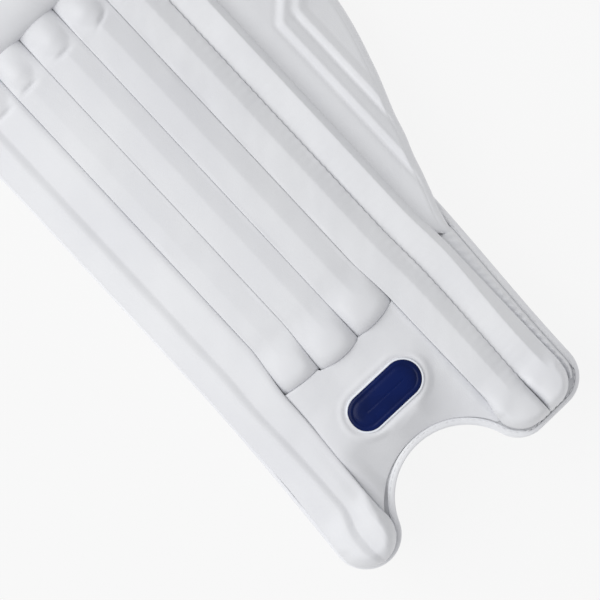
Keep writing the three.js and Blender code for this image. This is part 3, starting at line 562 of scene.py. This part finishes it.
centre_rib(
    "centre_rib_1", "inner_seam", "centre_seam_1", (0.405, 0.985, 0.94), 21,
    ((-31, 138, 15, 1.6, 0, 0), (-32, 391, 11.5, 1.8, 1, 0)),
)
centre_rib(
    "centre_rib_2", "centre_seam_1", "centre_seam_2", (0.566, 0.94, 0.9), 31,
    ((-1.5, 134, 15, 1.6, 0, 0), (-1, 392, 11.5, 1.8, 1, 0)),
)
centre_rib(
    "centre_rib_3", "centre_seam_2", "outer_seam", (0.53, 0.92, 0.86), 41,
    ((26, 136, 15, 1.6, 0, 0), (27, 391, 11.5, 1.8, 1, 0.42)),
)
rib(
    "outer_rib", "outer_seam", "wing_seam", 3.8, TOP, (0.61, 0.84, 0.83), 51,
    circle=(61.5, 23.1, 19.0, -1, -1), ball=(7.0, 5.0), pitch=1.6, puckers=0.12, walls=(0.12, 0.8),
    lean=0.2, hold=0.5, balls=((62, 13, 18, 2.4, 0, 0), (57, 391, 12, 2.0, 0.8, 0)),
)
rib(
    "wing_rib", "wing_seam", "wing_foot", 3.8, TOP, (0.78, 0.74, 0.36), 61,
    circle=(78.6, 21.8, 18.1, -1, 1), ends=(36.0, 30.0), ball=(7.0, 5.0), pitch=1.6, puckers=0.1,
    walls=(0.12, 0.8), lean=0.3, low_ridge=0.66, hold=0.55,
    # The wing rib's leather is made lighter here: painted light.
    balls=((88, 15, 18, 2.6, 0, 0), (82, 391, 12, 2.0, 0.8, 0)), material=PAINTED_LIGHT_LEATHER,
)


def bulb_line(x):
    """Where the ribs' bulbs end over the instep, so that the panel meets them."""
    names = ("inner_seam", "centre_seam_1", "centre_seam_2", "outer_seam")
    bounds = [seam(name, INSTEP_LENGTH) for name in names]
    y = np.full(np.shape(x), INSTEP_LENGTH - 1)
    for low, high, (start, left, right, bow) in zip(bounds, bounds[1:], BULB_ENDS.values()):
        t = np.clip((x - low) / (high - low), 0, 1)
        curve = start + mix(left, right, t) - bow * (1 - (2 * t - 1) ** 2)
        y = np.where((x >= low - 0.8) & (x <= high + 0.8), curve, y)
    return y


def instep_panel():
    clear = ARCH[2] + TAPE_WIDTH + 0.1
    us = np.linspace(0, 1, 100)
    vs = np.linspace(0, 1, 96)
    left, right = seam("inner_seam", BADGE_CENTRE) + 0.3, seam("outer_seam", BADGE_CENTRE) - 0.3
    x0 = mix(left, right, us)
    across = mix(seam("inner_seam", INSTEP_LENGTH), seam("outer_seam", INSTEP_LENGTH), us)
    top = bulb_line(across)[None, :] + 0.1
    rim = np.maximum(22.0, ARCH[1] + np.sqrt(np.maximum(0, clear**2 - (x0 - ARCH[0]) ** 2)))
    y = mix(rim[None, :], top, vs[:, None])
    slide = (x0[None, :] - left) / (right - left)
    x = mix(seam("inner_seam", y) + 0.02, seam("outer_seam", y) - 0.02, slide)
    from_tape = np.hypot(x - ARCH[0], y - ARCH[1]) - clear
    half = BADGE_WIDTH / 2 - BADGE_HEIGHT / 2
    from_badge = np.hypot(np.maximum(0, np.abs(x) - half), y - BADGE_CENTRE) - BADGE_HEIGHT / 2
    ramp_top = 64 + 12 * smooth((-6 - x) / 24) + 27 * smooth((x - 8) / 32)
    ramp = (y - rim[None, :]) / (ramp_top - rim[None, :])
    ramp = np.minimum(ramp, 1.15) - np.clip(ramp - 0.85, 0, 0.3) ** 2 / 0.6
    ramp = np.minimum(ramp, 1 - (1 - np.clip(from_tape / 15, 0, 1)) ** 1.5)
    ramp = mix(1, ramp, smooth(from_badge / 7))
    beside_rib = smooth((36 - (x - x[:, :1])) / 36) * (1 - 0.3 * smooth((y - 84) / 24))
    rise = mix(0.05, 0.3, smooth((-36 - x) / 10))
    h = (PANEL_THICKNESS + 4.4 * beside_rib) * mix(rise, 1, ramp)
    side = np.minimum(x - x[:, :1], x[:, -1:] - x)
    h = h * (0.96 + 0.04 * round_up(side, 1.2)) * (0.97 + 0.03 * round_up(top - y, 0.8))
    place = np.stack([x, y, np.zeros_like(x)], -1)
    open_ground = smooth(from_badge / 4)
    h = h + open_ground * smooth(side / 5) * (0.25 * ripple(place, 34, 71) + 0.06 * ripple(place, 11, 72))
    h = h + 0.5 * bump_at(from_badge - 3.2, 1.8) - 0.35 * bump_at(from_badge - 0.6, 0.9)
    z = shell(x) + 0.3 + np.maximum(h, 0.8)
    front = np.stack([x, y, z], -1)
    low = np.concatenate([front[0, :], front[1:, -1], front[-1, -2::-1], front[-2:0:-1, 0]])
    low[:, 2] = shell(low[:, 0]) + 0.3
    rows, cols = x.shape
    points = np.concatenate([front.reshape(-1, 3), low])
    index = np.arange(rows * cols).reshape(rows, cols)
    quads = np.stack([index[:-1, :-1], index[:-1, 1:], index[1:, 1:], index[1:, :-1]], -1)
    faces = quads.reshape(-1, 4).tolist()
    rim_index = np.concatenate([index[0, :], index[1:, -1], index[-1, -2::-1], index[-2:0:-1, 0]])
    low_index = rows * cols + np.arange(len(low))
    for i in range(len(low)):
        j = (i + 1) % len(low)
        faces.append([int(rim_index[i]), int(rim_index[j]), int(low_index[j]), int(low_index[i])])
    faces.append([int(i) for i in low_index])
    mesh = bpy.data.meshes.new("instep_panel")
    mesh.from_pydata(to_world(points).tolist(), [], faces)
    work = bmesh.new()
    work.from_mesh(mesh)
    bmesh.ops.recalc_face_normals(work, faces=work.faces)
    work.to_mesh(mesh)
    work.free()
    dress("instep_panel_cover", mesh, LEATHER, ("instep_panel",))


instep_panel()


def stadium(half_width, half_height, count=120):
    run = half_width - half_height
    turn = np.linspace(-math.pi / 2, math.pi / 2, count // 2)
    right = np.stack([run + half_height * np.cos(turn), half_height * np.sin(turn)], -1)
    return np.concatenate([right, -right])


def badge():
    """A plain domed plate with round ends in a thin pale rim."""
    seat_z = lambda x: shell(x) + 0.3 + PANEL_THICKNESS + 0.15
    profile = [(0.0, 0.0), (0.0, 0.9), (0.3, 1.5), (1.0, 1.95), (2.0, 2.15), (2.9, 2.1)]
    profile += [(3.3, 1.75), (3.8, 1.75), (4.2, 2.1), (5.2, 2.3), (7.0, 2.42), (9.0, 2.46), (11.0, 2.46), (12.29, 2.46)]
    half = (BADGE_WIDTH / 2 - 1.2, BADGE_HEIGHT / 2 - 1.2)
    rings = []
    for inset, rise in profile:
        loop = stadium(half[0] - inset, half[1] - inset)
        rings.append(np.stack([loop[:, 0], BADGE_CENTRE + loop[:, 1], seat_z(loop[:, 0]) + rise], -1))
    dress("badge_plate", grid_mesh("badge_plate", np.array(rings)), NAVY, ("instep_badge",))
    turn = np.linspace(0, 2 * math.pi, 13)[:-1]
    rings = []
    for angle in turn:
        offset = 0.75 * math.cos(angle)
        loop = stadium(BADGE_WIDTH / 2 - 0.75 + offset, BADGE_HEIGHT / 2 - 0.75 + offset)
        z = seat_z(loop[:, 0]) + 0.6 + 0.8 * math.sin(angle)
        rings.append(np.stack([loop[:, 0], BADGE_CENTRE + loop[:, 1], z], -1))
    rings = np.array(rings).transpose(1, 0, 2)
    dress("badge_rim", grid_mesh("badge_rim", rings, is_loop=True), PALE_RIM)


badge()

WING_EDGE = np.array([
    (0, 0.11, 0.35), (0.007, 0.135, 0.7), (0.02, 0.17, 0.92), (0.035, 0.21, 1), (0.05, 0.265, 1),
    (0.084, 0.35, 1), (0.111, 0.405, 1), (0.14, 0.49, 1), (0.169, 0.545, 1), (0.197, 0.622, 1),
    (0.226, 0.704, 1), (0.253, 0.765, 1), (0.282, 0.831, 1), (0.311, 0.885, 1), (0.345, 0.935, 1),
    (0.395, 0.98, 1), (0.445, 0.998, 1), (0.5, 1, 1), (0.57, 0.985, 1), (0.68, 0.89, 1),
    (0.79, 0.73, 1), (0.89, 0.524, 1), (0.956, 0.33, 0.95), (0.99, 0.19, 0.75), (1, 0.12, 0.4),
])


def evened(values, reach):
    """A running mean, to round a table's corners."""
    padded = np.concatenate([np.full(reach, values[0]), values, np.full(reach, values[-1])])
    return np.convolve(padded, np.ones(2 * reach + 1) / (2 * reach + 1), "valid")


def side_wing():
    along = np.linspace(0, 1, 260)
    along = 0.75 * along + 0.25 * (0.5 - 0.5 * np.cos(np.pi * along))
    reach = evened(np.interp(along, WING_EDGE[:, 0], WING_EDGE[:, 1]), 3)
    tall = np.interp(along, WING_EDGE[:, 0], WING_EDGE[:, 2])
    ys = WING_START + along * WING_LENGTH
    tip = 1 - smooth((ys - WING_START) / 18)
    foot = seam("wing_foot", ys) - 0.25
    inner, outer = foot, foot + reach * WING_REACH
    s = np.linspace(0, 1, 84)
    t = 0.6 * s + 0.4 * (0.5 - 0.5 * np.cos(np.pi * s))
    x = mix(inner[:, None], outer[:, None], t[None, :])
    y = ys[:, None] + tip[:, None] * (3 - 8 * t[None, :])
    out = outer[:, None] - x
    near = x - inner[:, None]
    h = WING_THICKNESS * tall[:, None] * (0.3 + 0.7 * round_up(out, 7.0))
    h = h * (0.77 + 0.23 * smooth(near / 14))
    h = h * (1 + 0.3 * smooth(near / 45))
    bend = WING_START + WING_BEND
    for offset, tail in ((19.7, 9.5), (33.0, 7.0)):
        centre = seam("wing_foot", y) + offset
        corner = seam("wing_foot", np.array(bend)) + offset
        slant = ((x - corner) - (y - bend)) / math.sqrt(2)
        signed = np.where(y + 0.41 * (x - corner) < bend, x - centre, slant)
        places = [-2.9, -2.4, -1.2, 1.2, 2.0, 3.4, tail]
        ramp = np.interp(signed, places, [0, 0.1, 0.45, 0.93, 1.0, 0.72, 0])
        h = h + 2.7 * ramp * smooth((out - 2) / 4) - 0.35 * bump_at(signed + 4.2, 1.2) * smooth(out / 6)
    place = np.stack([x, y, np.zeros_like(x)], -1)
    free = smooth(out / 5) * smooth(near / 4)
    h = h + free * (0.35 * ripple(place, 60, 81) + 0.06 * ripple(place, 14, 82))
    h = h - 0.35 * bump_at(out - 4.6, 0.8)
    base = shell(x) + 2.4
    top = np.stack([x, y, base + h], -1)
    under = np.linspace(0.985, 0.015, 14)
    ux = mix(inner[:, None], outer[:, None], under[None, :])
    uy = ys[:, None] + tip[:, None] * (3 - 8 * under[None, :])
    below = np.stack([ux, uy, shell(ux) + 2.4 + 0 * uy], -1)
    rings = np.concatenate([top, below], 1)
    # The wing's leather is made lighter: painted light.
    dress("side_wing_cover", grid_mesh("side_wing", rings), PAINTED_LIGHT_LEATHER,
          ("side_wing", "wing_line_1", "wing_line_2"))


side_wing()


def edge_tape():
    out = outwards(OUTLINE)
    section = np.array([
        (4.75, 0.32), (4.8, 0.9), (4.6, 1.35), (4.1, 1.5), (2.6, 1.62), (1.2, 1.55), (0.4, 1.0),
        (0.05, 0.0),
        (0, -2.0), (0.05, -4.0), (0.4, -5.0), (1.2, -5.5), (3.0, -5.5), (4.6, -5.4), (4.8, -4.9),
        (4.7, -4.32), (3.0, -4.32), (1.3, -4.3), (1.25, -2.0), (1.3, 0.3), (3.0, 0.32),
    ])
    x, y = OUTLINE[:, :1], OUTLINE[:, 1:]
    front = (section[:, 1] > 0.2)[None, :]
    inset = section[None, :, 0] * np.where(front, tape_reach(x, y) / TAPE_WIDTH, 1)
    px = x - inset * out[:, :1]
    py = y - inset * out[:, 1:]
    place = np.stack([px, py, np.zeros_like(px)], -1)
    top = (section[:, 1] > 0.6)[None, :]
    rough = 0.16 * ripple(place, 16, 91, 3)
    z = shell(px) + section[None, :, 1] + np.where(top, rough * smooth(section[None, :, 0] / 2 + 0.3), 0)
    rings = np.stack([px, py, z], -1)
    dress("edge_tape", grid_mesh("edge_tape", rings, is_loop=True), TAPE, ("edge_binding",))


edge_tape()


def stitch_run(path, heights, pitch, length, width):
    """Short threads along a plan path: their points and faces."""
    far = np.concatenate([[0], np.cumsum(np.linalg.norm(np.diff(path, axis=0), axis=1))])
    points, faces = [], []
    for place in np.arange(pitch / 2, far[-1] - length / 2, pitch):
        ends = []
        for shift in (-0.5, -0.3, 0.3, 0.5):
            at = np.clip(place + shift * length, 0, far[-1])
            ends.append([np.interp(at, far, column) for column in (*path.T, heights)])
        ends = np.array(ends)
        along = ends[-1] - ends[0]
        along /= np.linalg.norm(along)
        side = np.cross(along, [0, 0, 1.0])
        side /= np.linalg.norm(side)
        up = np.cross(side, along)
        start = len(points)
        for centre, sink, size in zip(ends, (-0.28, 0.1, 0.1, -0.28), (0.45, 1, 1, 0.45)):
            for k in range(6):
                turn = 2 * math.pi * k / 6
                offset = size * width / 2 * (math.cos(turn) * side + 0.8 * math.sin(turn) * up)
                points.append(centre + offset + sink * width * up)
        for ring in range(3):
            for k in range(6):
                a, b = start + ring * 6 + k, start + ring * 6 + (k + 1) % 6
                faces.append([a, b, b + 6, a + 6])
        faces.append([start + k for k in range(6)][::-1])
        faces.append([start + 18 + k for k in range(6)])
    return points, faces


def stitches(name, runs):
    points, faces = [], []
    for run in runs:
        more, sides = stitch_run(*run)
        faces += [[i + len(points) for i in side] for side in sides]
        points += more
    mesh = bpy.data.meshes.new(name)
    mesh.from_pydata(to_world(points).tolist(), [], faces)
    dress(name, mesh, THREAD)


def tape_stitches():
    out = outwards(OUTLINE)
    path = OUTLINE - 3.4 * out
    stitches("tape_stitches", [(path, shell(path[:, 0]) + 1.62, 4.2, 3.0, 0.55)])


tape_stitches()


def flange_cover():
    """The face leather's margin on the shell: it ripples between the wing rib and its stitch line."""
    ys = np.arange(10.2, PAD_LENGTH - TOP_CORNER - 2, 1.3)
    under = np.sqrt(np.maximum((OUTER_LOBE_RIGHT[2] - 4.9) ** 2 - np.minimum(ys - 22, 0) ** 2, 0))
    outer = np.where(ys < 22, OUTER_LOBE_RIGHT[0] + under, SHELL_RIGHT + outer_swing(ys) - 4.9)
    ball = 78.9 + np.sqrt(np.maximum(18.4**2 - np.minimum(ys - 21.5, 0) ** 2, 0))
    inner = np.minimum(np.minimum(seam("wing_foot", ys), ball) - 0.6, outer - 0.3)
    s = np.linspace(0, 1, 30)
    x = mix(inner[:, None], outer[:, None], s[None, :])
    y = np.repeat(ys[:, None], len(s), 1)
    stitch = np.maximum(outer - 0.5, inner + 0.1)
    along = ys[:, None] + 0.6 * (x - inner[:, None])
    place = np.stack([x, y, np.zeros_like(x)], -1)
    wave = 0.5 + 0.5 * np.sin(along * (2 * math.pi / 6.2) + 1.9 * ripple(place * [0, 1, 0], 30, 95))
    width = np.maximum(stitch - inner, 0.5)[:, None]
    middle = np.clip((stitch[:, None] - x) / width, 0, 1)
    wave = wave * (1 - 0.5 * smooth((ys - 60) / 30))[:, None]
    h = 3.4 + (1.4 + 2.2 * wave) * np.sin(np.pi * (1 - middle) ** 1.5) ** 0.9 * smooth(width / 4)
    h = h - 0.3 * bump_at(x - stitch[:, None], 0.6)
    h = mix(h, 0.35, smooth((y - WING_START + 1.5) / 3))
    top = np.stack([x, y, shell(x) + 0.15 + h], -1)
    below = np.stack([x, y, shell(x) + 0.08], -1)[:, ::-1]
    mesh = grid_mesh("flange_cover", np.concatenate([top, below], 1))
    # The flange's leather is made lighter: painted light against the wing rib's shade.
    dress("flange_cover", mesh, PAINTED_LIGHT_LEATHER)
    path = np.stack([stitch, ys], -1)
    low = (ys < WING_START + 2) & (ys > 13)
    heights = shell(stitch) + 0.15 + 0.32
    stitches("flange_stitches", [(path[low], heights[low], 4.0, 2.8, 0.55)])


flange_cover()


def hat_ribs():
    start, top = KNEE_TOP + 0.3, PAD_LENGTH - TAPE_WIDTH
    names = list(SEAMS)
    shapes = [
        None, (0.405, 0.9, 0.9), (0.566, 0.88, 0.9), (0.53, 0.88, 0.88), (0.61, 0.8, 0.86),
        (0.77, 0.72, 0.42),
    ]
    labels = ["inner_edge_rib", "centre_rib_1", "centre_rib_2", "centre_rib_3", "outer_rib", "wing_rib"]
    inset = 2.4
    corner = PAD_LENGTH - TOP_CORNER
    circles = {
        "inner_edge_rib": (SHELL_LEFT + TOP_CORNER, corner, TOP_CORNER - inset, 1, -1),
        "wing_rib": (SHELL_RIGHT - TOP_CORNER, corner, TOP_CORNER - inset, 1, 1),
    }
    for i, (label, shape) in enumerate(zip(labels, shapes)):
        edge = label in circles
        end = top - (7.4 if edge else 0.4)
        rib("top_" + label, names[i], names[i + 1], start, end, shape, 100 + 7 * i, ends=(30.0, 26.0),
            ball=(5.0, 12.0), circle=circles.get(label), swell=(1.04, 1.03, 13.0), walls=(0.6, 0.0),
            balls=(((seam(names[i], start) + seam(names[i + 1], start)) / 2, start + 13, 12.0, 1.8, 0, 0),))


hat_ribs()


def cloth_copy(node, name, voxel, pressure, frames, cap, shrink):
    """A copy of a CAD node, remeshed, and swelled as stuffed cloth by pressure, with its moves capped."""
    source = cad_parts[node]
    piece = bpy.data.objects.new(name, source.data.copy())
    bpy.context.scene.collection.objects.link(piece)
    low, high = (np.array(corner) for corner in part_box(node))
    middle = (low + high) / 2
    for vertex in piece.data.vertices:
        vertex.co = Vector(middle + (np.array(vertex.co) - middle) * np.array(shrink))
    bpy.ops.object.select_all(action="DESELECT")
    piece.select_set(True)
    bpy.context.view_layer.objects.active = piece
    remesh = piece.modifiers.new("remesh", "REMESH")
    remesh.mode = "VOXEL"
    remesh.voxel_size = voxel / 1000
    bpy.ops.object.modifier_apply(modifier="remesh")
    before = np.array([vertex.co[:] for vertex in piece.data.vertices])
    cloth = piece.modifiers.new("cloth", "CLOTH")
    cloth.settings.use_pressure = True
    cloth.settings.uniform_pressure_force = pressure
    cloth.settings.effector_weights.gravity = 0
    cloth.settings.quality = 5
    cloth.point_cache.frame_start = 1
    cloth.point_cache.frame_end = frames
    scene = bpy.context.scene
    for step in range(1, frames + 1):
        scene.frame_set(step)
    bpy.ops.object.modifier_apply(modifier="cloth")
    scene.frame_set(1)
    after = np.array([vertex.co[:] for vertex in piece.data.vertices])
    move = after - before
    size = np.linalg.norm(move, axis=1)
    move *= np.minimum(1, cap / 1000 / np.maximum(size, 1e-9))[:, None]
    return piece, before + move


def finish_cloth(piece, points, material, node):
    piece.data.vertices.foreach_set("co", points.ravel())
    subdivide = piece.modifiers.new("subdivide", "SUBSURF")
    subdivide.levels = subdivide.render_levels = 1
    bpy.context.view_layer.objects.active = piece
    bpy.ops.object.modifier_apply(modifier="subdivide")
    piece.data.materials.clear()
    piece.data.materials.append(material)
    for face in piece.data.polygons:
        face.use_smooth = True
    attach(piece, "root")
    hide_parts(node)


def knee_rolls():
    for i in range(3):
        node = f"knee_roll_{i + 1}"
        piece, points = cloth_copy(node, node + "_cover", 4.0, 4.0, 14, 4.0, (0.985, 0.992, 0.97))
        local = points * 1000 - SHIFT
        middle = SHIN_LENGTH + (i + 0.5) * KNEE_ROLL_WIDTH
        over = smooth((local[:, 2] - shell(local[:, 0]) - 4) / 8)
        ends = smooth((np.abs(local[:, 0] - (FACE_LEFT + FACE_RIGHT) / 2) - 62) / 22)
        fold = np.sin(local[:, 1] * (2 * math.pi / 9.5) + 2 * ripple(local, 40, 120 + i))
        local[:, 2] += over * (0.3 * ripple(local, 50, 110 + i) + 0.35 * ends * fold)
        low, high = local[:, 1].min(), local[:, 1].max()
        reach = (middle - KNEE_ROLL_WIDTH / 2 - (4.8 if i == 0 else 0.0), middle + KNEE_ROLL_WIDTH / 2)
        local[:, 1] = reach[0] + (local[:, 1] - low) * (reach[1] - reach[0]) / (high - low)
        local[:, 2] = np.maximum(local[:, 2], shell(local[:, 0]) + 0.35)
        finish_cloth(piece, to_world(local), LEATHER, node)


knee_rolls()


def back_padding():
    shrink = (0.99, 0.997, 0.985)
    piece, points = cloth_copy("back_padding", "back_padding_cover", 5.0, 3.0, 10, 2.5, shrink)
    local = points * 1000 - SHIFT
    hollow = (local[:, 0] > -58) & (local[:, 0] < 78)
    for x in (-38.0, -14.0, 10.0, 34.0, 58.0):
        depth = 2.6 * bump_at(local[:, 0] - x, 2.6) * hollow * (local[:, 2] < shell(local[:, 0]) - 14)
        local[:, 2] += depth
    local[:, 2] += 0.35 * ripple(local, 48, 131) * (local[:, 2] > 6)
    local[:, 2] = np.clip(local[:, 2], 0.0, shell(local[:, 0]) - 4.4)
    finish_cloth(piece, to_world(local), LINING, "back_padding")


back_padding()

for name in ("ankle_strap", "calf_strap", "knee_strap"):
    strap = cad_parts[name]
    strap.data.materials.clear()
    strap.data.materials.append(WEBBING)
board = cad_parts["backing_board"]
board.data.materials.clear()
board.data.materials.append(LEATHER)


def flat_material(name, code, roughness):
    material = bpy.data.materials.new(name)
    material.use_nodes = True
    shader = material.node_tree.nodes["Principled BSDF"]
    shader.inputs["Base Color"].default_value = colour(code)
    shader.inputs["Roughness"].default_value = roughness
    return material


def studio():
    floor = bpy.data.meshes.new("floor")
    corners = [(-9, -9, -0.0005), (9, -9, -0.0005), (9, 9, -0.0005), (-9, 9, -0.0005)]
    floor.from_pydata(corners, [], [(0, 1, 2, 3)])
    pale = flat_material("floor", "404040", 0.9)
    pale.node_tree.nodes["Principled BSDF"].inputs["Emission Color"].default_value = colour("FFFFFF")
    pale.node_tree.nodes["Principled BSDF"].inputs["Emission Strength"].default_value = 0.87
    new_object("floor", floor, pale)
    world = bpy.data.worlds.new("studio")
    world.use_nodes = True
    world.node_tree.nodes["Background"].inputs["Color"].default_value = colour("FFFFFF")
    world.node_tree.nodes["Background"].inputs["Strength"].default_value = 0.59
    scene = bpy.context.scene
    scene.world = world
    scene.view_settings.view_transform = "Standard"
    centre = Vector(to_world((1.92, 165.1, 60.0)))
    left = Vector((-0.731, 0.682, 0.0))
    offset = left * 3.2 + Vector((0, 0, 3.7))
    key = bpy.data.lights.new("key", "AREA")
    key.size = 4.6
    key.energy = 158.0
    lamp = bpy.data.objects.new("key", key)
    lamp.location = centre + offset
    lamp.rotation_euler = (-offset).to_track_quat("-Z", "Y").to_euler()
    scene.collection.objects.link(lamp)
    camera_data = bpy.data.cameras.new("camera")
    camera_data.lens = 234.0
    camera_data.sensor_width = 36.0
    camera_data.clip_end = 50.0
    camera = bpy.data.objects.new("camera", camera_data)
    scene.collection.objects.link(camera)
    distance = 0.384 * camera_data.lens / camera_data.sensor_width
    turn = math.radians(43)
    right = Vector((math.cos(turn), -math.sin(turn), 0))
    up = Vector((math.sin(turn), math.cos(turn), 0))
    camera.matrix_world = Matrix.Translation(centre + Vector((0, 0, distance))) @ Matrix(
        (right, up, Vector((0, 0, 1)))
    ).transposed().to_4x4()
    scene.camera = camera


studio()
